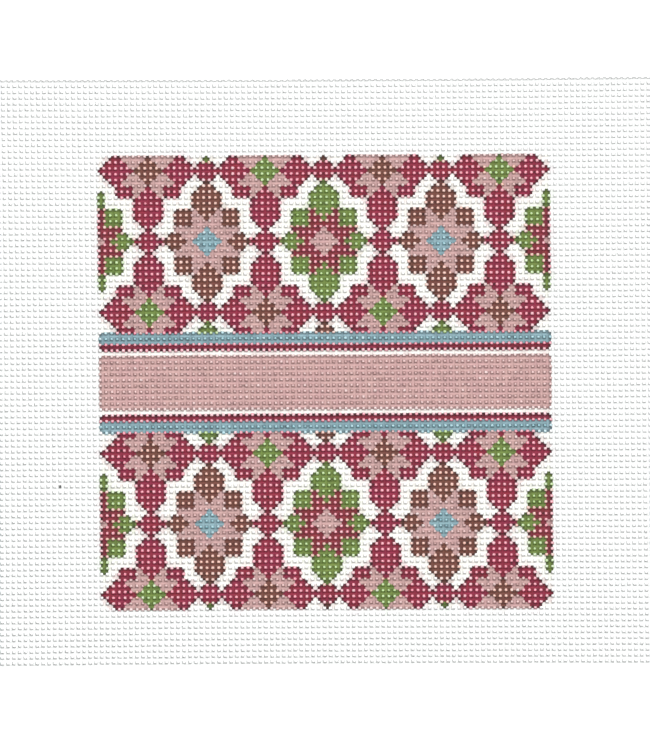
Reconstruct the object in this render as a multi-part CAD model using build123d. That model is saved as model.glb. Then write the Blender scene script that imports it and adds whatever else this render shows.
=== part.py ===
from build123d import *
import os

# A cut piece of single-thread needlepoint canvas, lying flat with its painted side up.
# X runs across the canvas, Y up the design, and Z up from the table.
# The warp threads run along Y and lie on the table, at Z = 0.
# The weft threads run along X and lie across them, so that every crossing touches.
# The thread spacing leaves a small square hole between every four crossings.

# Weave
INCH = 25.4
THREADS_PER_INCH = 18
PITCH = INCH / THREADS_PER_INCH

# Cut size of the canvas
CANVAS_WIDTH = 162.3
CANVAS_HEIGHT = 141.1

# Sections of the sized cotton threads, which are pressed flat
WARP_WIDTH = 0.72
WARP_THICKNESS = 0.24
WARP_CORNER = 0.08
WEFT_WIDTH = 0.75
WEFT_THICKNESS = 0.24
WEFT_CORNER = 0.08

# The first thread on each side lies half a pitch in from the cut edge
WARP_COUNT = round(CANVAS_WIDTH / PITCH)
WEFT_COUNT = round(CANVAS_HEIGHT / PITCH)


def thread(width, thickness, corner, length):
    """One straight thread along Y, its underside on Z = 0 and its middle on the Z axis."""
    section = Rectangle(width, thickness)
    section = chamfer(section.vertices(), corner)
    face = Plane.XZ * Pos(0, thickness / 2) * section
    return extrude(face, length / 2, both=True)


def thread_places(count):
    """Middles of a row of like threads, evenly spaced about zero."""
    return [(number - (count - 1) / 2) * PITCH for number in range(count)]


def warp_threads():
    """The threads that run up the canvas, side by side on the table."""
    strand = thread(WARP_WIDTH, WARP_THICKNESS, WARP_CORNER, CANVAS_HEIGHT)
    strands = [Pos(x, 0, 0) * strand for x in thread_places(WARP_COUNT)]
    return Compound(children=strands, label="warp_threads")


def weft_threads():
    """The threads that run across the canvas, resting on the warp threads."""
    strand = thread(WEFT_WIDTH, WEFT_THICKNESS, WEFT_CORNER, CANVAS_WIDTH)
    strand = Rot(0, 0, 90) * strand
    strands = [Pos(0, y, WARP_THICKNESS) * strand for y in thread_places(WEFT_COUNT)]
    return Compound(children=strands, label="weft_threads")


os.makedirs("parts", exist_ok=True)
export_step(warp_threads(), "parts/warp_threads.step")
export_step(weft_threads(), "parts/weft_threads.step")
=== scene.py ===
import math

import bpy
import numpy as np
from bpy.props import FloatProperty, FloatVectorProperty, IntProperty, PointerProperty
from mathutils import Euler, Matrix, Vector


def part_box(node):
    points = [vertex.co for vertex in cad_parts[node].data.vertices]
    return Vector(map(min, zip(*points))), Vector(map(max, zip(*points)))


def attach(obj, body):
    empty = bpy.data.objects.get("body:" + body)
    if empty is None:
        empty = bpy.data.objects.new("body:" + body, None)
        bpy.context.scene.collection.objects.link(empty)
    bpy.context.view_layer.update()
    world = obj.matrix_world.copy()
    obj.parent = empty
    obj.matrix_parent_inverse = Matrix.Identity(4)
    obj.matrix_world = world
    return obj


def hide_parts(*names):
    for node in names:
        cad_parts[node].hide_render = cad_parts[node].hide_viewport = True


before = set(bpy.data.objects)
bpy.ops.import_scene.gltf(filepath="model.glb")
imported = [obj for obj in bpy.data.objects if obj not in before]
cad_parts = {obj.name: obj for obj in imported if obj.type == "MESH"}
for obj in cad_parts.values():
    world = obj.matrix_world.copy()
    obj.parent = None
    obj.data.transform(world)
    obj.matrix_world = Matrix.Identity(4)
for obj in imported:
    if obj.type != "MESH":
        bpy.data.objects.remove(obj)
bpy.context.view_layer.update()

bl_info = {
    "name": "Painted needlepoint canvas",
    "version": (1, 0, 0),
    "blender": (4, 5, 0),
    "location": "3D View > Sidebar > Canvas",
    "description": "Weaves a piece of open canvas thread by thread and paints a tile pattern on it",
    "category": "Object",
}

MM = 0.001

# Weave, counted and measured on the solids
PITCH = 0.0254 / 18
WARP_LOW, WARP_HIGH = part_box("warp_threads")
WEFT_LOW, WEFT_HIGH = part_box("weft_threads")
WARP_COUNT = round((WEFT_HIGH.x - WEFT_LOW.x) / PITCH)
WEFT_COUNT = round((WARP_HIGH.y - WARP_LOW.y) / PITCH)
THREAD_THICKNESS = WARP_HIGH.z - WARP_LOW.z
CLOTH_MIDDLE = WARP_HIGH.z
WARP_PIECES = 5
WEFT_PIECES = 5

# Stitch chart, counted in crossings from the design's middle
DESIGN_COLUMN = WARP_COUNT // 2
DESIGN_ROW = WEFT_COUNT // 2 - 2  # the design lies a little below the canvas's middle
DESIGN_REACH = 38
BAND_PINK, BAND_WHITE, BAND_RED, BAND_TEAL = 4, 5, 6, 8
TILE_WIDE, TILE_HIGH = 20, 24
BARE, WHITE, PINK, RASPBERRY, CRIMSON, GREEN, BROWN, TEAL = range(8)

# How wide a thread is with each paint on it, as a share of its plain width
PAINT_BODY = (1.03, 1.04, 1.1, 0.99, 0.99, 1.02, 0.98, 1.07)

# Waves in a thread's slow wander from end to end
WANDER_WAVES = (1.3, 2.9, 6.1)

# Share of the unevenness that a whole thread has, and the most by which a ring is thinner than full
THREAD_SHARE = 0.6
THINNER_BY = 0.05

# A cut end lies on the table. This share of the thread's thickness is left in it, and it may be
# short by this part of a pitch.
END_THICKNESS = 0.5
END_UNEVEN = 0.06

# Rings of a thread: one at the cut end, then two that hold each crossing and one in each gap
CROSSING_HALF = 0.18
RINGS_A_CROSSING = 3
NEAR, FAR, GAPS = slice(1, None, 3), slice(2, None, 3), slice(3, -1, 3)
BEFORE_GAP, AFTER_GAP = slice(2, -2, 3), slice(4, None, 3)
ENDS = [0, -1]
SECTION = ((1.0, 0.0), (0.45, 1.0), (-0.45, 1.0), (-1.0, 0.0), (-0.45, -1.0), (0.45, -1.0))
SIDES = len(SECTION)
COVER_BY_SIDE = (0.95, 1.0, 1.0, 0.95, 0.45, 0.45)

# Paint runs past the gap's middle towards a pale crossing: how far, how much that varies in every
# gap, and the most it can be, in pitches
PAINT_SPILL = 0.13
SPILL_SPREAD = 0.035
SPILL_MOST = 0.2
# Where its paint ends against a pale crossing a thread is darker: its tone there, beside a spread
# of 1, and the share of that tone on the near side of the painted crossing
EDGE_TONE = -13.0
EDGE_REACH = 0.5
# Tone of a crossing that has another paint beside it
MEET_TONE = -3.0
# Share by which each painted neighbour stains a pale crossing, and the range of its random factor
STAIN_SHARE = 0.1
STAIN_RANGE = (0.2, 1.8)
# Painted shade in some of the gaps between crossings, deeper on the upright threads: its mean tone
# there
WARP_GAP_SHADE = -4.0
WEFT_GAP_SHADE = -1.5

# Skins of paint in the holes: how far from a thread's middle line they end, and their thickness
FILM_TUCK = 0.3
FILM_THICKNESS = 0.02 * MM
FILM_HEIGHT = CLOTH_MIDDLE * 0.6
# Tone of a skin on a motif's rim, where it is more open, and the share of that tone that a skin
# between two paints has
RIM_FILM_TONE = -3.0
MIXED_SHARE = 0.3

# Half sizes of the crumb of dirt, which reaches from thread to thread up the design, and its lumps
CRUMB_SIZE = np.array([0.2, 0.36, 0.13]) * MM
CRUMB_LUMPS = 0.06

# UV maps: how far round the twist is shifted from thread to thread, and the margins for baking
TWIST_SHIFT = 1.37
STRIP_MARGIN = 0.04
BAKE_MARGIN = 0.01
CELL_MARGIN = 0.05

# What the seed grows by for each kind of draw; a thread piece also adds its first thread's number
FILM_DRAWS, CRUMB_DRAWS, STAIN_DRAWS, THREAD_DRAWS, UPRIGHT_DRAWS = 7, 8, 9, 100, 1000

# How many plies show round a thread
PLIES = 3.0

# Kinds of socket in the node groups
NUMBER, COLOUR = "NodeSocketFloat", "NodeSocketColor"

# Space between the table top and the canvas
TABLE_GAP = 0.02 * MM

# Finishes of the threads, in the order of the stitch chart's numbers:
# name, setting that holds the colour, unevenness
THREAD_FINISHES = (
    ("bare_cotton", "bare", 0.01),
    ("white_paint", "white", 0.008),
    ("pink_paint", "pink", 0.035),
    ("raspberry_paint", "raspberry", 0.06),
    ("crimson_paint", "crimson", 0.06),
    ("green_paint", "green", 0.05),
    ("brown_paint", "brown", 0.05),
    ("teal_paint", "teal", 0.045))

# Finishes of the skins, in the same order from pink on: name, setting that holds the colour, tint
# where it is thin, radius of the thin part, its spread, its density, and how much of that is left
# in the middle
FILM_FINISHES = (
    ("pink_film", "pink", (0.80, 0.46, 0.44), 0.31, 0.05, 0.26, 0.9),
    ("raspberry_film", "raspberry", (0.95, 0.10, 0.24), 0.41, 0.03, 0.25, 0.62),
    ("crimson_film", "crimson", (0.98, 0.12, 0.24), 0.40, 0.025, 0.24, 0.6),
    ("green_film", "green", (0.36, 0.66, 0.06), 0.36, 0.03, 0.25, 0.65),
    ("brown_film", "brown", (0.92, 0.44, 0.32), 0.39, 0.025, 0.25, 0.75),
    ("teal_film", "teal", (0.22, 0.60, 0.70), 0.31, 0.045, 0.24, 0.9))


def linear(red, green, blue):
    """A colour given as on a screen, 0 to 255, in linear light."""
    parts = [value / 255 for value in (red, green, blue)]
    return tuple(v / 12.92 if v <= 0.04045 else ((v + 0.055) / 1.055) ** 2.4 for v in parts)


# Colour of the crumb
SOOT = linear(62, 62, 60)


# Settings

class CanvasWeave(bpy.types.PropertyGroup):
    """How the threads are woven"""
    warp_width: FloatProperty(
        name="Warp width", description="Width of a warp thread seen from above",
        default=0.72 * MM, unit="LENGTH", precision=5)
    weft_width: FloatProperty(
        name="Weft width", description="Width of a weft thread seen from above",
        default=0.74 * MM, unit="LENGTH", precision=5)
    wander: FloatProperty(
        name="Wander", description="How far a thread strays from its straight line",
        default=0.035 * MM, unit="LENGTH", precision=5)
    unevenness: FloatProperty(
        name="Unevenness", description="How much a thread's width changes along it",
        default=0.05, subtype="FACTOR", min=0, max=0.3)
    crossing_swell: FloatProperty(
        name="Crossing swell",
        description="How much wider a thread is at a crossing than on average",
        default=0.1, subtype="FACTOR", min=0, max=0.3)
    gap_waist: FloatProperty(
        name="Gap waist", description="How much narrower a thread is beside a hole than on average",
        default=0.07, subtype="FACTOR", min=0, max=0.3)
    press: FloatProperty(
        name="Press",
        description="Share of their thickness by which crossing threads are pressed together",
        default=0.7, subtype="FACTOR", min=0, max=0.8)
    skew: FloatProperty(
        name="Skew", description="How far the weave is pulled off square",
        default=math.radians(0.229), subtype="ANGLE")
    stretch: FloatProperty(
        name="Stretch",
        description="How far the canvas is drawn longer up the design and narrower across it",
        default=0.0024, subtype="FACTOR", min=0, max=0.02, precision=4)
    draw_in: FloatProperty(
        name="Draw in", description="How far the middles of the four cut edges are drawn in",
        default=0.0037, subtype="FACTOR", min=0, max=0.02, precision=4)
    seed: IntProperty(name="Seed", description="Chooses the irregularities", default=18)


class CanvasPaint(bpy.types.PropertyGroup):
    """Colours of the threads, and where the speck lies"""
    bare: FloatVectorProperty(
        name="Bare cotton", description="Sized cotton that was never painted",
        default=linear(209, 211, 210), subtype="COLOR", min=0, max=1)
    white: FloatVectorProperty(
        name="White", description="White paint between the motifs",
        default=linear(209, 209, 204), subtype="COLOR", min=0, max=1)
    pink: FloatVectorProperty(
        name="Dusty pink", description="Paint of the broad bands and the flower grounds",
        default=linear(166, 133, 131), subtype="COLOR", min=0, max=1)
    raspberry: FloatVectorProperty(
        name="Raspberry", description="Paint of the petals, lozenges and thin stripes",
        default=linear(114, 24, 47), subtype="COLOR", min=0, max=1)
    crimson: FloatVectorProperty(
        name="Crimson", description="Ground of the green medallions",
        default=linear(110, 31, 43), subtype="COLOR", min=0, max=1)
    green: FloatVectorProperty(
        name="Leaf green", description="Paint of the green petals",
        default=linear(89, 108, 48), subtype="COLOR", min=0, max=1)
    brown: FloatVectorProperty(
        name="Brown", description="Paint of the brown petals",
        default=linear(93, 52, 43), subtype="COLOR", min=0, max=1)
    teal: FloatVectorProperty(
        name="Teal", description="Paint of the thin stripes and medallion centres",
        default=linear(111, 138, 146), subtype="COLOR", min=0, max=1)
    speck: FloatVectorProperty(
        name="Speck", description="Place of the small dark speck in a hole of the bare canvas",
        default=(-64.07 * MM, -27.0 * MM, 0), subtype="TRANSLATION", unit="LENGTH", precision=5)

    def by_number(self):
        """The eight colours in the order of the stitch chart's numbers."""
        return [getattr(self, key)[:] for _, key, _ in THREAD_FINISHES]


class CanvasStage(bpy.types.PropertyGroup):
    """Table, light and camera"""
    floor_size: FloatProperty(
        name="Floor", description="Side of the white table top",
        default=3.0, unit="LENGTH")
    key_strength: FloatProperty(
        name="Key light", description="Strength of the light from the lower left",
        default=4.3, min=0)
    key_softness: FloatProperty(
        name="Key softness", description="How wide the key light looks from the canvas",
        default=math.radians(54), subtype="ANGLE")
    key_height: FloatProperty(
        name="Key height", description="Angle of the key light above the table",
        default=math.radians(47), subtype="ANGLE")
    key_side: FloatProperty(
        name="Key side", description="How far to the left of the lower edge the key stands",
        default=math.radians(16), subtype="ANGLE")
    fill_strength: FloatProperty(
        name="Fill light", description="Strength of the even light from all round",
        default=0.76, min=0)
    lens: FloatProperty(
        name="Lens", description="Focal length of the camera, in millimetres", default=200.0)
    view_height: FloatProperty(
        name="View height", description="Height of the table top that the picture takes in",
        default=180.26 * MM, unit="LENGTH", precision=5)
    view_across: FloatProperty(
        name="View across", description="The picture's middle, right of the canvas's middle",
        default=-0.07 * MM, unit="LENGTH", precision=5)
    view_up: FloatProperty(
        name="View up", description="The picture's middle, up the design from the canvas's middle",
        default=-0.42 * MM, unit="LENGTH", precision=5)
    turn: FloatProperty(
        name="Turn", description="How far the canvas lies turned in the picture",
        default=math.radians(0.41), subtype="ANGLE")


# Stitch chart

def from_nearest(value, step, first):
    """How far value lies from the nearest of first, first + step, ..., and that one's number."""
    number = round((value - first) / step)
    return value - first - number * step, number


def medallion(across, up):
    """Paint of a crossing in one of the large medallions, or None outside them."""
    across, column = from_nearest(across, TILE_WIDE, 0)
    up, row = from_nearest(up, TILE_HIGH, 0)
    x, y = abs(across), abs(up)
    is_brown = (column + row) % 2 == 0
    petal = 4 <= y <= 10 and x <= min(2, 3 - abs(y - 7))
    corner = 3 <= x <= 5 and 3 <= y <= 5
    side = abs(x - 5.5) + y <= 1.5
    if petal or corner or side:
        return BROWN if is_brown else GREEN
    if x + y <= 2:
        return TEAL if is_brown else PINK
    if (x <= 2 and y <= 5) or (x <= 5 and y <= 2):
        return PINK if is_brown else CRIMSON
    return None


def flower(across, up):
    """Paint of a crossing in one of the flowers between the medallions, or None."""
    across, column = from_nearest(across, TILE_WIDE, -TILE_WIDE * 1.5)
    up, row = from_nearest(up, TILE_HIGH, -TILE_HIGH * 1.5)
    x, y = abs(across), abs(up)
    if x + y <= 2:
        return BROWN if (column + row) % 2 == 0 else GREEN
    lobe = abs(x - 5.5) + y <= 2.5
    block = 3 <= x <= 5 and 3 <= y <= 4
    drop = 3 <= y <= 10 and x <= min(2, 3.5 - abs(y - 6.5))
    if lobe or block or drop:
        return RASPBERRY
    if (x <= 2 and y <= 4) or (x <= 4 and y <= 2):
        return PINK
    return None


def lozenge(across, up):
    """Raspberry if the crossing is in a small lozenge that joins two motifs, or None."""
    for column, row in ((TILE_WIDE / 2, 0), (0, TILE_HIGH / 2)):
        x = abs(from_nearest(across, TILE_WIDE, column)[0])
        y = abs(from_nearest(up, TILE_HIGH, row)[0])
        if x + y <= 2:
            return RASPBERRY
    return None


def paint_at(across, down):
    """Paint of the crossing so many columns right and rows down from the design's middle."""
    if max(abs(across), abs(down)) > DESIGN_REACH:
        return BARE
    for reach, paint in (
            (BAND_PINK, PINK), (BAND_WHITE, WHITE), (BAND_RED, RASPBERRY), (BAND_TEAL, TEAL)):
        if abs(down) <= reach:
            return paint
    for motif in (medallion, flower, lozenge):
        paint = motif(across, down)
        if paint is not None:
            return paint
    return WHITE


def chart():
    """Paint of every crossing, by warp number from the left and weft number from below."""
    return np.array([
        [paint_at(i - DESIGN_COLUMN, DESIGN_ROW - j) for j in range(WEFT_COUNT)]
        for i in range(WARP_COUNT)])


def beside(values):
    """The four neighbours of every crossing, the edge's own value where there is none."""
    wide = np.pad(values, [(1, 1), (1, 1)] + [(0, 0)] * (values.ndim - 2), mode="edge")
    return np.stack([wide[:-2, 1:-1], wide[2:, 1:-1], wide[1:-1, :-2], wide[1:-1, 2:]])


def stains(paints, colours, rng):
    """What each crossing's colour is multiplied by: less than 1 on a pale one beside a paint."""
    near = beside(paints)
    thin = np.sqrt(np.array(colours))[near]
    stained = (near >= PINK) & (paints <= WHITE)
    share = STAIN_SHARE * stained * rng.uniform(*STAIN_RANGE, paints.shape)
    return 1 - np.sum(share[..., None] * (1 - thin), 0)


# Weave

def smooth_wander(rng, rows, length, size):
    """One slow random line for each row, of about the given size."""
    place = np.arange(length)
    line = np.zeros((rows, length))
    for waves in WANDER_WAVES:
        phase = rng.uniform(0, 2 * math.pi, (rows, 1))
        wave = np.sin(2 * math.pi * waves * place / length + phase)
        line += rng.normal(0, size / 2, (rows, 1)) * wave
    return line


def crossings(weave):
    """Where each crossing lies in plan, as two arrays by warp and weft number."""
    rng = np.random.default_rng(weave.seed)
    across = (np.arange(WARP_COUNT) - (WARP_COUNT - 1) / 2) * PITCH
    up = (np.arange(WEFT_COUNT) - (WEFT_COUNT - 1) / 2) * PITCH
    x, y = np.meshgrid(across, up, indexing="ij")
    off_x, off_y = (x / across[-1]) ** 2, (y / up[-1]) ** 2
    x = x * (1 - weave.stretch) * (1 + weave.draw_in * (off_y - 0.5))
    y = y * (1 + weave.stretch) * (1 + weave.draw_in * (off_x - 0.5))
    half = math.tan(weave.skew / 2)
    skewed_x, skewed_y = x - y * half, y - x * half
    skewed_x = skewed_x + smooth_wander(rng, WARP_COUNT, WEFT_COUNT, weave.wander)
    skewed_y = skewed_y + smooth_wander(rng, WEFT_COUNT, WARP_COUNT, weave.wander).T
    skewed_x = skewed_x + rng.normal(0, weave.wander / 2, x.shape)
    skewed_y = skewed_y + rng.normal(0, weave.wander / 2, y.shape)
    return skewed_x, skewed_y


def round_holes(values):
    """Values at the four crossings round every hole, from the lower left and then to the right."""
    return np.stack([values[:-1, :-1], values[1:, :-1], values[1:, 1:], values[:-1, 1:]])


def ring_places(rng, along, paints):
    """Rings along each thread: two at each crossing, one in each gap and one at each end."""
    threads, count = along.shape
    half = CROSSING_HALF * PITCH
    places = np.zeros((threads, RINGS_A_CROSSING * count + 1))
    places[:, NEAR] = along - half
    places[:, FAR] = along + half
    gap = (along[:, 1:] + along[:, :-1]) / 2
    pale = paints <= WHITE
    towards_pale = pale[:, 1:].astype(float) - pale[:, :-1]
    spill = PAINT_SPILL * towards_pale + rng.normal(0, SPILL_SPREAD, gap.shape)
    places[:, GAPS] = gap + np.clip(spill, -SPILL_MOST, SPILL_MOST) * PITCH
    places[:, 0] = along[:, 0] - PITCH * (0.5 + rng.uniform(-END_UNEVEN, 0, threads))
    places[:, -1] = along[:, -1] + PITCH * (0.5 + rng.uniform(-END_UNEVEN, 0, threads))
    return places


def heights(places, lift, wave):
    """Height of each ring's middle: over or under at a crossing and on a slope between."""
    z = np.zeros(places.shape)
    z[:, NEAR] = lift * wave
    z[:, FAR] = lift * wave
    start, end = places[:, BEFORE_GAP], places[:, AFTER_GAP]
    share = (places[:, GAPS] - start) / (end - start)
    z[:, GAPS] = wave * (lift[:, :-1] * (1 - share) + lift[:, 1:] * share)
    return z + CLOTH_MIDDLE


def thread_shape(rng, along, aside, lift, paints, width, upright, weave):
    """Places of the rings along some like threads, and the points of every ring."""
    places = ring_places(rng, along, paints)
    z = heights(places, lift, THREAD_THICKNESS / 2 * (1 - weave.press))
    sideways = np.array([np.interp(p, a, s) for p, a, s in zip(places, along, aside)])
    swell = 1 + rng.normal(0, weave.unevenness * THREAD_SHARE, (len(places), 1))
    swell = swell + rng.normal(0, weave.unevenness, places.shape)
    body = np.array(PAINT_BODY)[paints]
    swell[:, NEAR] *= body * (1 + weave.crossing_swell)
    swell[:, FAR] *= body * (1 + weave.crossing_swell)
    swell[:, GAPS] *= (body[:, 1:] + body[:, :-1]) / 2 * (1 - weave.gap_waist)
    half_width = width / 2 * swell
    half_thick = THREAD_THICKNESS / 2 * (1 + weave.press)
    half_thick = half_thick * (1 - THINNER_BY * rng.random(places.shape))
    half_thick[:, ENDS] *= END_THICKNESS
    z[:, ENDS] = half_thick[:, ENDS]
    section = np.array(SECTION)
    points = np.zeros((*places.shape, SIDES, 3))
    run, side = (1, 0) if upright else (0, 1)
    points[..., run] = places[:, :, None]
    points[..., side] = sideways[:, :, None] + half_width[:, :, None] * section[:, 0]
    points[..., 2] = z[:, :, None] + half_thick[:, :, None] * section[:, 1]
    return places, points


def thread_faces(threads, rings, upright):
    """Corners of the faces round each thread, and of the caps on its two cut ends."""
    number = np.arange(threads * rings * SIDES).reshape(threads, rings, SIDES)
    here, ahead = number[:, :-1], number[:, 1:]
    quads = np.stack([here, np.roll(here, -1, 2), np.roll(ahead, -1, 2), ahead], -1)
    caps = np.concatenate([number[:, 0, ::-1], number[:, -1]])
    if upright:
        quads, caps = quads[..., ::-1], caps[:, ::-1]
    return quads.reshape(-1, 4), caps


def thread_kinds(paints, rings):
    """Paint of every face: that of its crossing, and on the caps that of the end crossings."""
    crossing_of = np.minimum(np.arange(rings - 1) // RINGS_A_CROSSING, paints.shape[1] - 1)
    round_it = np.repeat(paints[:, crossing_of].ravel(), SIDES)
    return np.concatenate([round_it, paints[:, 0], paints[:, -1]])


def thread_tones(rng, paints, meets, upright):
    """How light or dark each ring is: by crossing, with painted shade in the gaps, where paints
    meet and at a rim.
    """
    threads, count = paints.shape
    tone = np.zeros((threads, RINGS_A_CROSSING * count + 1))
    of_crossing = rng.normal(0, 1, (threads, count)) + MEET_TONE * meets
    tone[:, NEAR] = of_crossing
    tone[:, FAR] = of_crossing
    pale = paints <= WHITE
    at_edge = pale[:, 1:] != pale[:, :-1]
    # painted shade in the gaps, of random depth, deeper on the upright threads
    gap_shade = (WARP_GAP_SHADE if upright else WEFT_GAP_SHADE) * rng.exponential(1, at_edge.shape)
    between = (of_crossing[:, 1:] + of_crossing[:, :-1]) / 2
    tone[:, GAPS] = between + np.where(at_edge, EDGE_TONE, np.maximum(gap_shade, EDGE_TONE))
    # darker on the painted side, next to where the paint ends against a pale crossing
    tone[:, BEFORE_GAP] += EDGE_TONE * EDGE_REACH * (at_edge & ~pale[:, :-1])
    tone[:, AFTER_GAP] += EDGE_TONE * EDGE_REACH * (at_edge & ~pale[:, 1:])
    tone[:, ENDS] = of_crossing[:, ENDS]
    return tone


def thread_stains(stain):
    """What each ring's colour is multiplied by, from what its crossings' colours are."""
    threads, count = stain.shape[:2]
    shade = np.ones((threads, RINGS_A_CROSSING * count + 1, 3))
    shade[:, NEAR] = stain
    shade[:, FAR] = stain
    shade[:, GAPS] = np.minimum(stain[:, 1:], stain[:, :-1])
    return shade


def thread_uvs(places, upright):
    """Both UV maps on the faces round the threads: one follows the yarn, one is for baking."""
    threads, rings = places.shape
    shape = (threads, rings - 1, SIDES)
    lengthways = (places - places[:, :1]) / MM
    u0 = np.broadcast_to(lengthways[:, :-1, None], shape)
    u1 = np.broadcast_to(lengthways[:, 1:, None], shape)
    number = np.arange(threads)[:, None, None]
    v0 = np.broadcast_to(np.arange(SIDES) / SIDES, shape) + number * TWIST_SHIFT
    v1 = v0 + 1 / SIDES
    along = np.stack([u0, u0, u1, u1], -1)
    around = np.stack([v0, v1, v1, v0], -1)
    wide = 1 - 2 * STRIP_MARGIN
    strip = (number + STRIP_MARGIN + wide * np.arange(SIDES) / SIDES) / threads
    s0 = np.broadcast_to(strip, shape)
    s1 = s0 + wide / SIDES / threads
    bake_across = np.stack([s0, s1, s1, s0], -1)
    bake_up = BAKE_MARGIN + (1 - 2 * BAKE_MARGIN) * along / lengthways[:, -1].max()
    turn = -1 if upright else 1
    return {
        name: np.stack([u[..., ::turn].ravel(), v[..., ::turn].ravel()], -1)
        for name, u, v in (("yarn", along, around), ("OFBake", bake_across, bake_up))}


def raw_mesh(name, points, corners, sizes, kinds, materials):
    """A mesh from its points, its faces' corners and sizes, and each face's material number."""
    mesh = bpy.data.meshes.new(name)
    mesh.vertices.add(points.size // 3)
    mesh.vertices.foreach_set("co", points.ravel())
    mesh.loops.add(len(corners))
    mesh.loops.foreach_set("vertex_index", corners)
    mesh.polygons.add(len(sizes))
    mesh.polygons.foreach_set("loop_start", np.concatenate([[0], np.cumsum(sizes)[:-1]]))
    mesh.polygons.foreach_set("material_index", kinds)
    for material in materials:
        mesh.materials.append(bpy.data.materials[material])
    return mesh


def set_on_points(mesh, name, values):
    """Gives every point a number or a vector, under the name by which the materials read it."""
    kind, field = ("FLOAT", "value") if values.ndim == 1 else ("FLOAT_VECTOR", "vector")
    mesh.attributes.new(name, kind, "POINT").data.foreach_set(field, values.ravel())


def lay_out(name, mesh):
    """The piece of a finished mesh, on the canvas's one body."""
    mesh.update(calc_edges=True)
    mesh.validate()
    piece = bpy.data.objects.new(name, mesh)
    bpy.context.scene.collection.objects.link(piece)
    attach(piece, "root")
    return piece


def thread_piece(name, along, aside, lift, paints, meets, stain, width, upright, weave, first):
    """One mesh of some like threads: closed six-sided tubes that rise and dip at each crossing."""
    draws = THREAD_DRAWS + (UPRIGHT_DRAWS if upright else 0)
    rng = np.random.default_rng(weave.seed + draws + first)
    places, points = thread_shape(rng, along, aside, lift, paints, width, upright, weave)
    quads, caps = thread_faces(*places.shape, upright)
    sizes = np.repeat([4, SIDES], [len(quads), len(caps)])
    mesh = raw_mesh(
        name, points, np.concatenate([quads.ravel(), caps.ravel()]), sizes,
        thread_kinds(paints, places.shape[1]), [finish[0] for finish in THREAD_FINISHES])
    mesh.polygons.foreach_set("use_smooth", sizes == 4)
    tone = thread_tones(rng, paints, meets, upright)
    set_on_points(mesh, "tone", np.repeat(tone.ravel(), SIDES))
    set_on_points(mesh, "stain", np.repeat(thread_stains(stain).reshape(-1, 3), SIDES, 0))
    set_on_points(mesh, "cover", np.tile(COVER_BY_SIDE, places.size))
    for title, places_in_map in thread_uvs(places, upright).items():
        uv = mesh.uv_layers.new(name=title)
        uv.data.foreach_set("uv", np.concatenate([places_in_map, np.zeros((caps.size, 2))]).ravel())
    return lay_out(name, mesh)


def paint_film(weave):
    """One mesh of thin closed skins of paint, over the holes of the motifs and at their rims."""
    rng = np.random.default_rng(weave.seed + FILM_DRAWS)
    around = round_holes(chart())
    painted = np.sum(around >= PINK, 0)
    by_paint = np.sort(around, 0)
    main = np.where(painted >= 3, by_paint[1], by_paint[2])
    red = np.any((around == RASPBERRY) | (around == CRIMSON), 0)
    main = np.where(red & np.any(around == GREEN, 0), BROWN, main)
    opened = np.where(painted == 4, MIXED_SHARE, 1) * (by_paint[0] != by_paint[3])
    filled = painted >= 2
    count = np.sum(filled)

    x, y = crossings(weave)
    tuck_x = weave.warp_width * FILM_TUCK * np.array((1, -1, -1, 1))
    tuck_y = weave.weft_width * FILM_TUCK * np.array((1, 1, -1, -1))
    corners = np.stack([
        np.moveaxis(round_holes(x), 0, -1)[filled] + tuck_x,
        np.moveaxis(round_holes(y), 0, -1)[filled] + tuck_y], -1)
    low = np.concatenate([corners, np.full((count, 4, 1), FILM_HEIGHT - FILM_THICKNESS / 2)], -1)
    high = np.concatenate([corners, np.full((count, 4, 1), FILM_HEIGHT + FILM_THICKNESS / 2)], -1)
    points = np.concatenate([low, high], 1)
    # each skin is a box of 8 points and 6 faces, and the first two faces are its flat sides
    box = np.array([
        (3, 2, 1, 0), (4, 5, 6, 7), (0, 1, 5, 4), (1, 2, 6, 5), (2, 3, 7, 6), (3, 0, 4, 7)])
    faces = box + np.arange(count)[:, None, None] * 8
    mesh = raw_mesh(
        "paint_film", points, faces.ravel(), np.full(count * 6, 4),
        np.repeat(main[filled] - PINK, 6), [finish[0] for finish in FILM_FINISHES])
    tone = rng.normal(0, 1, count) + RIM_FILM_TONE * opened[filled]
    set_on_points(mesh, "tone", np.repeat(tone, 8))

    in_hole = np.zeros((count, 6, 4, 2))
    in_hole[:, 0] = ((0, 1), (1, 1), (1, 0), (0, 0))
    in_hole[:, 1] = ((0, 0), (1, 0), (1, 1), (0, 1))
    mesh.uv_layers.new(name="hole").data.foreach_set("uv", in_hole.ravel())
    side = math.ceil(math.sqrt(count * 6))
    cell = np.arange(count * 6)
    near_side, far_side = CELL_MARGIN, 1 - CELL_MARGIN
    unit = np.array([
        (near_side, near_side), (far_side, near_side), (far_side, far_side), (near_side, far_side)])
    spread = (np.stack([cell % side, cell // side], -1)[:, None] + unit) / side
    mesh.uv_layers.new(name="OFBake").data.foreach_set("uv", spread.ravel())
    return lay_out("paint_film", mesh)


def crumb(weave, place):
    """A crumb of dirt caught in the hole nearest to a place, between its upper and lower thread."""
    rng = np.random.default_rng(weave.seed + CRUMB_DRAWS)
    hole_x, hole_y = [round_holes(values).mean(0) for values in crossings(weave)]
    nearest = np.argmin(np.hypot(hole_x - place[0], hole_y - place[1]))
    middle = np.array([hole_x.flat[nearest], hole_y.flat[nearest], CLOTH_MIDDLE])
    bpy.ops.mesh.primitive_ico_sphere_add(subdivisions=2, radius=1)
    piece = bpy.context.object
    piece.name = piece.data.name = "crumb"
    points = np.zeros((len(piece.data.vertices), 3))
    piece.data.vertices.foreach_get("co", points.ravel())
    points *= 1 + rng.normal(0, CRUMB_LUMPS, (len(points), 1))
    piece.data.vertices.foreach_set("co", (points * CRUMB_SIZE + middle).ravel())
    piece.data.uv_layers[0].name = "OFBake"
    piece.data.materials.append(bpy.data.materials["dark_crumb"])
    piece.data.update()
    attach(piece, "root")
    return piece


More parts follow.
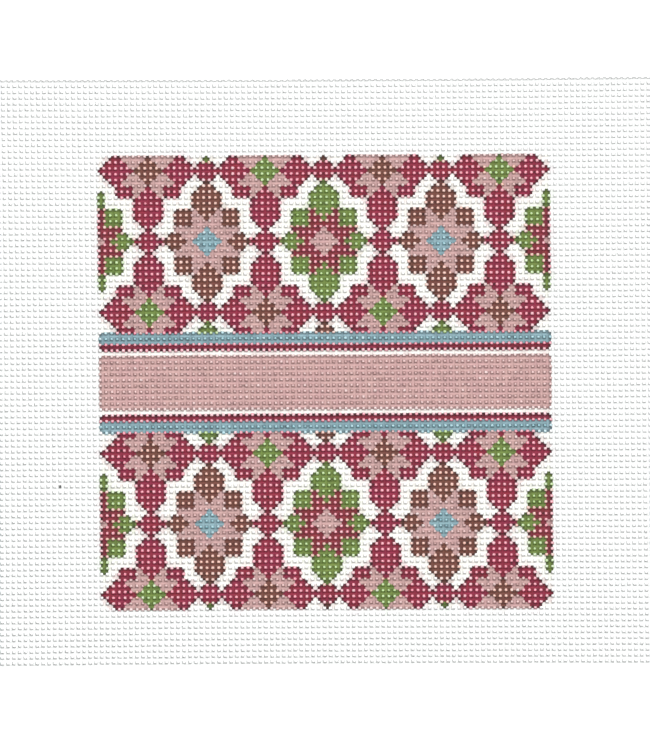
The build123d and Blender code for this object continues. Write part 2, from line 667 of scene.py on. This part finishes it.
def weave_group(name, numbers, upright, weave, colours):
    x, y = crossings(weave)
    paints = chart()
    near = beside(paints)
    meets = np.any((near != paints) & (near >= PINK), 0) & (paints >= PINK)
    stain = stains(paints, colours, np.random.default_rng(weave.seed + STAIN_DRAWS))
    over = np.where(np.add.outer(np.arange(WARP_COUNT), np.arange(WEFT_COUNT)) % 2 == 0, 1, -1)
    if upright:
        along, aside, lift, paints = y[numbers], x[numbers], over[numbers], paints[numbers]
        meets, stain = meets[numbers], stain[numbers]
        width, length, node = weave.warp_width, WARP_HIGH.y - WARP_LOW.y, "warp_threads"
    else:
        along, aside = x[:, numbers].T, y[:, numbers].T
        lift, paints = -over[:, numbers].T, paints[:, numbers].T
        meets, stain = meets[:, numbers].T, stain[:, numbers].transpose(1, 0, 2)
        width, length, node = weave.weft_width, WEFT_HIGH.x - WEFT_LOW.x, "weft_threads"
    piece = thread_piece(
        name, along, aside, lift, paints, meets, stain, width, upright, weave, int(numbers[0]))
    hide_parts(node)
    return piece


def weave_all(scene, node, count, pieces, upright):
    """Weaves all the threads of one direction, in a few pieces."""
    colours = scene.canvas_paint.by_number()
    for part, numbers in enumerate(np.array_split(np.arange(count), pieces), 1):
        weave_group(f"{node}_{part}", numbers, upright, scene.canvas_weave, colours)


# Materials

def connect(tree, node, inputs):
    """Links each of a node's inputs to the output given for it, or sets it to the value given."""
    for key, given in inputs.items():
        if isinstance(given, bpy.types.NodeSocket):
            tree.links.new(given, node.inputs[key])
        else:
            node.inputs[key].default_value = given


def add(tree, kind, x, y, inputs=None, **settings):
    """A node at a place in the editor, with its settings by name and its inputs linked or set."""
    node = tree.nodes.new(kind)
    node.location = (x, y)
    for key, value in settings.items():
        setattr(node, key, value)
    connect(tree, node, inputs or {})
    return node


def calculate(tree, operation, x, y, *terms):
    """The result of one sum, whose terms are outputs or plain numbers."""
    return add(tree, "ShaderNodeMath", x, y, dict(enumerate(terms)), operation=operation).outputs[0]


def carry(tree, x, y, value, before=(0, 1), after=(0, 1), **settings):
    """A value carried from one range over to another and held inside it."""
    inputs = {
        "Value": value, "From Min": before[0], "From Max": before[1],
        "To Min": after[0], "To Max": after[1]}
    return add(tree, "ShaderNodeMapRange", x, y, inputs, **settings).outputs["Result"]


def blend(tree, x, y, share, first, second, **settings):
    """A colour mixed of two."""
    inputs = {0: share, 6: first, 7: second}
    return add(tree, "ShaderNodeMix", x, y, inputs, data_type="RGBA", **settings).outputs[2]


def blend_numbers(tree, x, y, share, first, second):
    """A number between two."""
    inputs = {0: share, 2: first, 3: second}
    return add(tree, "ShaderNodeMix", x, y, inputs, data_type="FLOAT").outputs[0]


def noise(tree, x, y, place, scale, detail=2.0):
    """Noise that stays near 0.5, with so many lumps to the metre."""
    inputs = {"Vector": place, "Scale": scale, "Detail": detail}
    return add(tree, "ShaderNodeTexNoise", x, y, inputs).outputs["Fac"]


def as_tone(tree, x, y, cloud):
    """Noise carried over to a tone about zero."""
    return calculate(tree, "MULTIPLY_ADD", x, y, cloud, 4.0, -2.0)


def object_place(tree, x, y):
    """Where a point lies on the canvas, in metres."""
    return add(tree, "ShaderNodeTexCoord", x, y).outputs["Object"]


def on_points(tree, x, y, name, output="Fac"):
    """What the mesh's points hold under a name."""
    return add(tree, "ShaderNodeAttribute", x, y, attribute_name=name).outputs[output]


def new_group(name, colours, numbers, results):
    """A new node group, and the outputs that hold what it is given: colours and numbers."""
    group = bpy.data.node_groups.new(name, "ShaderNodeTree")
    face = group.interface
    for title in colours:
        face.new_socket(title, in_out="INPUT", socket_type=COLOUR)
    for title, value in numbers.items():
        face.new_socket(title, in_out="INPUT", socket_type=NUMBER).default_value = value
    for title, kind in results.items():
        face.new_socket(title, in_out="OUTPUT", socket_type=kind)
    return group, add(group, "NodeGroupInput", -1300, 0).outputs


def new_material(name, colour=None):
    """The node tree and the shader of a new material, with a colour for plain views if given."""
    material = bpy.data.materials.new(name)
    material.use_nodes = True
    if colour:
        material.diffuse_color = (*colour, 1)
    return material.node_tree, material.node_tree.nodes["Principled BSDF"]


def yarn_relief():
    """Node group: the twist and fibres of a cotton thread, which follow its own run."""
    group, given = new_group(
        "yarn_relief", (), {"Turns a millimetre": 1.1, "Fibre share": 0.35},
        {"Height": NUMBER, "Fleck": NUMBER})
    run = add(group, "ShaderNodeUVMap", -900, 200, uv_map="yarn")
    split = add(group, "ShaderNodeSeparateXYZ", -700, 200, {0: run.outputs["UV"]})
    along = calculate(group, "MULTIPLY", -500, 250, split.outputs["X"], given["Turns a millimetre"])
    around = calculate(group, "MULTIPLY", -500, 80, split.outputs["Y"], PLIES)
    both = calculate(group, "ADD", -330, 160, along, around)
    angle = calculate(group, "MULTIPLY", -170, 160, both, 2 * math.pi)
    wave = calculate(group, "SINE", -10, 160, angle)
    fibre = noise(group, -500, -200, object_place(group, -900, -250), 5200.0, 3.0)
    height = blend_numbers(group, 200, 60, given["Fibre share"], wave, fibre)
    add(group, "NodeGroupOutput", 600, 0, {"Height": height, "Fleck": fibre})
    return group


def brushed_colour():
    """Node group: a paint laid over cotton, uneven from crossing to crossing and thin below."""
    group, given = new_group(
        "brushed_colour", ("Cotton", "Paint"), {"Unevenness": 0.1, "Fleck": 0.5},
        {"Color": COLOUR, "Roughness": NUMBER})
    place = object_place(group, -1100, -300)
    # how much of the cotton the paint hides
    cover = on_points(group, -1100, 150, "cover")
    raised = calculate(group, "MULTIPLY_ADD", -650, 150, given["Fleck"], -0.35, cover)
    hidden = carry(group, -450, 150, raised, before=(0, 0.55))
    laid = blend(group, -200, 100, hidden, given["Cotton"], given["Paint"])
    # stained where a painted crossing lies beside a pale one
    stain = on_points(group, -400, 350, "stain", "Color")
    stained = blend(group, 50, 200, 1.0, laid, stain, blend_type="MULTIPLY")
    # lighter and darker, by crossing and by brush stroke, and with the painted shade in the gaps
    # that the tone holds
    stroke = as_tone(group, -650, -250, noise(group, -900, -300, place, 420.0))
    both = calculate(group, "ADD", -450, -100, on_points(group, -1100, 300, "tone"), stroke)
    change = calculate(group, "MULTIPLY", -250, -100, both, given["Unevenness"])
    value = calculate(group, "ADD", -80, -100, change, 1.0)
    # cooler and warmer patches, where the paint was mixed a little differently
    batch = noise(group, -900, -550, place, 260.0, 1.0)
    hue = carry(group, -200, -350, batch, before=(0.3, 0.7), after=(0.494, 0.506))
    shade = add(
        group, "ShaderNodeHueSaturation", 300, 100, {"Hue": hue, "Color": stained, "Value": value})
    rough = carry(group, 300, -200, given["Fleck"], after=(0.62, 0.9))
    add(group, "NodeGroupOutput", 900, 0, {"Color": shade.outputs["Color"], "Roughness": rough})
    return group


def film_opening():
    """Node group: a skin of paint, dense at its hole's rim and thin or broken in the middle."""
    group, given = new_group(
        "film_opening", (), {"Opening": 0.3, "Spread": 0.03, "Thin part": 0.2, "Middle": 0.4},
        {"Rim": NUMBER, "Alpha": NUMBER})
    spot = add(group, "ShaderNodeUVMap", -900, 350, uv_map="hole")
    radius = add(
        group, "ShaderNodeVectorMath", -700, 350, {0: spot.outputs["UV"], 1: (0.5, 0.5, 0)},
        operation="DISTANCE")
    cloud = noise(group, -700, -300, object_place(group, -900, -300), 2600.0)
    tone = on_points(group, -700, 150, "tone")
    both = calculate(group, "ADD", -350, 50, tone, as_tone(group, -500, -250, cloud))
    moved = calculate(
        group, "MULTIPLY_ADD", -180, 150, both, given["Spread"], radius.outputs["Value"])
    past = calculate(group, "SUBTRACT", -20, 150, moved, given["Opening"])
    rim = carry(group, 150, 150, past, before=(-0.05, 0.05), interpolation_type="SMOOTHSTEP")
    # thinner on a motif's rim
    whole = carry(
        group, -350, -120, tone, before=(RIM_FILM_TONE, RIM_FILM_TONE / 2), after=(0.7, 1))
    thin = calculate(group, "MULTIPLY", 150, -120, given["Thin part"], whole)
    # clearest in the middle
    clear = carry(group, 0, 400, moved, before=(0.08, 0.4), after=(given["Middle"], 1.5))
    veil = calculate(group, "MULTIPLY", 280, -120, thin, clear)
    alpha = blend_numbers(group, 400, -50, rim, veil, 1.0)
    add(group, "NodeGroupOutput", 700, 0, {"Rim": rim, "Alpha": alpha})
    return group


def thread_material(name, paint, cotton, unevenness, relief, colours):
    """Cotton thread with one paint on it."""
    tree, shader = new_material(name, paint)
    twist = add(tree, "ShaderNodeGroup", -800, -200, node_tree=relief)
    tint = add(
        tree, "ShaderNodeGroup", -400, 200, {
            "Cotton": (*cotton, 1), "Paint": (*paint, 1), "Unevenness": unevenness,
            "Fleck": twist.outputs["Fleck"]},
        node_tree=colours)
    bump = add(
        tree, "ShaderNodeBump", -300, -250,
        {"Strength": 0.5, "Distance": 0.05 * MM, "Height": twist.outputs["Height"]})
    connect(tree, shader, {
        "Sheen Weight": 0.08, "Specular IOR Level": 0.3, "Base Color": tint.outputs["Color"],
        "Roughness": tint.outputs["Roughness"], "Normal": bump.outputs["Normal"]})


def crumb_material(soot):
    """Dry dark dirt, rough and a little uneven."""
    tree, shader = new_material("dark_crumb")
    grain = noise(tree, -700, 0, object_place(tree, -900, 0), 9000.0)
    dark, light = [(*[share * value for value in soot], 1) for share in (0.5, 1.5)]
    connect(tree, shader, {
        "Base Color": blend(tree, -400, 150, grain, dark, light),
        "Roughness": carry(tree, -400, -100, grain, after=(0.75, 0.95))})


def film_material(name, paint, thin, opening, spread, density, middle, openings):
    """A skin of one paint in a hole, full at the rim and a clearer tint where it is thin."""
    tree, shader = new_material(name, paint)
    gap = add(
        tree, "ShaderNodeGroup", -700, 0,
        {"Opening": opening, "Spread": spread, "Thin part": density, "Middle": middle},
        node_tree=openings)
    rim = gap.outputs["Rim"]
    connect(tree, shader, {
        "Specular IOR Level": 0.2, "Alpha": gap.outputs["Alpha"],
        "Base Color": blend(tree, -400, 200, rim, (*thin, 1), (*paint, 1)),
        "Roughness": carry(tree, -400, -50, rim, after=(0.45, 0.8))})


def laminate_material():
    """White table top, very slightly cloudy."""
    tree, shader = new_material("white_laminate")
    cloud = noise(tree, -500, 0, object_place(tree, -700, 0), 6.0)
    connect(tree, shader, {
        "Specular IOR Level": 0.2, "Roughness": 0.8,
        "Base Color": carry(tree, -300, 0, cloud, after=(0.9, 0.93))})


# Operators

class CANVAS_OT_mix_paints(bpy.types.Operator):
    """Mix the finishes of the threads, the skins of paint and the speck"""
    bl_idname = "canvas.mix_paints"
    bl_label = "Mix paints"

    def execute(self, context):
        paint = context.scene.canvas_paint
        cotton = paint.bare[:]
        relief, colours = yarn_relief(), brushed_colour()
        for name, key, unevenness in THREAD_FINISHES:
            thread_material(name, getattr(paint, key)[:], cotton, unevenness, relief, colours)
        crumb_material(SOOT)
        openings = film_opening()
        for name, key, *look in FILM_FINISHES:
            film_material(name, getattr(paint, key)[:], *look, openings)
        return {"FINISHED"}


class CANVAS_OT_warp(bpy.types.Operator):
    """Weave the threads that run up the canvas"""
    bl_idname = "canvas.warp"
    bl_label = "Weave warp"

    def execute(self, context):
        weave_all(context.scene, "warp_threads", WARP_COUNT, WARP_PIECES, True)
        return {"FINISHED"}


class CANVAS_OT_weft(bpy.types.Operator):
    """Weave the threads that run across the canvas"""
    bl_idname = "canvas.weft"
    bl_label = "Weave weft"

    def execute(self, context):
        weave_all(context.scene, "weft_threads", WEFT_COUNT, WEFT_PIECES, False)
        return {"FINISHED"}


class CANVAS_OT_film(bpy.types.Operator):
    """Stretch thin skins of paint over the holes of the painted motifs"""
    bl_idname = "canvas.film"
    bl_label = "Lay paint film"

    def execute(self, context):
        paint_film(context.scene.canvas_weave)
        return {"FINISHED"}


class CANVAS_OT_crumb(bpy.types.Operator):
    """Drop the dark speck into its hole of the bare canvas"""
    bl_idname = "canvas.crumb"
    bl_label = "Drop speck"

    def execute(self, context):
        crumb(context.scene.canvas_weave, context.scene.canvas_paint.speck)
        return {"FINISHED"}


class CANVAS_OT_stage(bpy.types.Operator):
    """Set the white table top, the soft light and the camera above the canvas"""
    bl_idname = "canvas.stage"
    bl_label = "Set stage"

    def execute(self, context):
        stage = context.scene.canvas_stage
        self.table(stage)
        self.light(stage)
        self.camera(stage)
        return {"FINISHED"}

    def table(self, stage):
        bpy.ops.object.select_all(action="DESELECT")
        bpy.ops.mesh.primitive_plane_add(size=stage.floor_size, location=(0, 0, -TABLE_GAP))
        top = bpy.context.object
        top.name = "table_top"
        bpy.ops.object.transform_apply(location=True)
        laminate_material()
        top.data.materials.append(bpy.data.materials["white_laminate"])

    def light(self, stage):
        lamp = bpy.data.lights.new("key", "SUN")
        lamp.energy = stage.key_strength
        lamp.angle = stage.key_softness
        key = bpy.data.objects.new("key", lamp)
        flat, side = math.cos(stage.key_height), stage.key_side
        high = math.sin(stage.key_height)
        source = Vector((-flat * math.sin(side), -flat * math.cos(side), high))
        key.rotation_euler = source.to_track_quat("Z", "Y").to_euler()
        key.location = source
        bpy.context.scene.collection.objects.link(key)
        world = bpy.data.worlds.new("room")
        world.use_nodes = True
        connect(world.node_tree, world.node_tree.nodes["Background"], {
            "Color": (1, 1, 1, 1), "Strength": stage.fill_strength})
        bpy.context.scene.world = world
        bpy.context.scene.view_settings.view_transform = "Standard"

    def camera(self, stage):
        data = bpy.data.cameras.new("camera")
        data.lens = stage.lens
        distance = stage.view_height * stage.lens / data.sensor_width
        camera = bpy.data.objects.new("camera", data)
        camera.location = (stage.view_across, stage.view_up, distance)
        camera.rotation_euler = Euler((0, 0, -stage.turn))
        data.clip_start, data.clip_end = distance / 100, distance * 10
        bpy.context.scene.collection.objects.link(camera)
        bpy.context.scene.camera = camera


class CANVAS_PT_panel(bpy.types.Panel):
    """The canvas's making, step by step"""
    bl_idname = "CANVAS_PT_panel"
    bl_label = "Canvas"
    bl_space_type = "VIEW_3D"
    bl_region_type = "UI"
    bl_category = "Canvas"

    def draw(self, context):
        scene = context.scene
        for group in (scene.canvas_weave, scene.canvas_paint, scene.canvas_stage):
            for key in group.bl_rna.properties.keys():
                if key not in ("rna_type", "name"):
                    self.layout.prop(group, key)
        for operator in OPERATORS:
            self.layout.operator(operator.bl_idname)


OPERATORS = (
    CANVAS_OT_mix_paints, CANVAS_OT_warp, CANVAS_OT_weft,
    CANVAS_OT_film, CANVAS_OT_crumb, CANVAS_OT_stage)
GROUPS = (CanvasWeave, CanvasPaint, CanvasStage)
CLASSES = (*GROUPS, *OPERATORS, CANVAS_PT_panel)


def register():
    for made in CLASSES:
        bpy.utils.register_class(made)
    bpy.types.Scene.canvas_weave = PointerProperty(type=CanvasWeave)
    bpy.types.Scene.canvas_paint = PointerProperty(type=CanvasPaint)
    bpy.types.Scene.canvas_stage = PointerProperty(type=CanvasStage)


def unregister():
    del bpy.types.Scene.canvas_weave, bpy.types.Scene.canvas_paint, bpy.types.Scene.canvas_stage
    for made in reversed(CLASSES):
        bpy.utils.unregister_class(made)


def main():
    """Makes the whole scene."""
    register()
    bpy.ops.canvas.mix_paints()
    bpy.ops.canvas.warp()
    bpy.ops.canvas.weft()
    bpy.ops.canvas.film()
    bpy.ops.canvas.crumb()
    bpy.ops.canvas.stage()
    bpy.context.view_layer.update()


if __name__ == "__main__":
    main()
